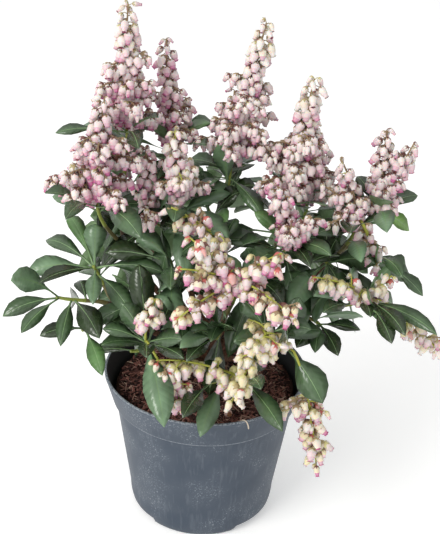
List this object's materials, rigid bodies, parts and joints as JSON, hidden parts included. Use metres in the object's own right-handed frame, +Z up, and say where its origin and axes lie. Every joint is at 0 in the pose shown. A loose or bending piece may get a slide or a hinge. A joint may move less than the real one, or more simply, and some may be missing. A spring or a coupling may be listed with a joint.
{
  "type": "potted pieris shrub",
  "caption": "Flowering evergreen shrub in a round nursery pot: whorls of narrow leaves and upright and hanging sprays of small urn-shaped flowers on short boughs.",
  "frame": {"origin": "centre of the pot's flat underside", "axes": "+Z up along the pot's axis, -Y towards the side that is seen first, +X to its right"},
  "size_m": [0.3399, 0.2734, 0.432],
  "materials": {
    "pot": "satin slate-grey injection-moulded plastic, lightly scuffed",
    "compost": "loose dark composted bark, matt",
    "bark": "brown fissured bark, matt",
    "foliage": "dark green leathery leaves, soft sheen",
    "blossom": "waxy white and blush-pink flowers, matt"
  },
  "bodies": {
    "root": {"pot": "pot", "compost": "compost", "trunk": "bark", "bough_back": "bark", "bough_back_left": "bark", "bough_back_right": "bark", "bough_centre_back": "bark", "bough_centre_left": "bark", "bough_centre_right": "bark", "bough_front_centre": "bark", "bough_front_left": "bark", "bough_front_low": "bark", "bough_front_right": "bark", "bough_left_centre": "bark", "bough_left_low": "bark", "bough_left_upper": "bark", "bough_right_low": "bark", "bough_right_upper": "bark", "foliage_back": "foliage", "foliage_back_left": "foliage", "foliage_back_right": "foliage", "foliage_centre_back": "foliage", "foliage_centre_left": "foliage", "foliage_centre_right": "foliage", "foliage_front_centre": "foliage", "foliage_front_left": "foliage", "foliage_front_low": "foliage", "foliage_front_right": "foliage", "foliage_left_centre": "foliage", "foliage_left_low": "foliage", "foliage_left_upper": "foliage", "foliage_right_low": "foliage", "foliage_right_upper": "foliage", "panicle_back_left": "blossom", "panicle_back_left_low": "blossom", "panicle_back_low": "blossom", "panicle_back_right": "blossom", "panicle_back_tall": "blossom", "panicle_centre_arching": "blossom", "panicle_centre_spray": "blossom", "panicle_centre_tall": "blossom", "panicle_front_cascade": "blossom", "panicle_front_drooping": "blossom", "panicle_left_back": "blossom", "panicle_left_front": "blossom", "panicle_left_inner": "blossom", "panicle_left_small": "blossom", "panicle_left_tall": "blossom", "panicle_right_front": "blossom", "panicle_right_low": "blossom", "panicle_right_outer": "blossom", "panicle_right_slender": "blossom", "panicle_right_tall": "blossom", "panicle_rim_arching": "blossom", "panicle_rim_spray": "blossom"}
  },
  "joints": []
}
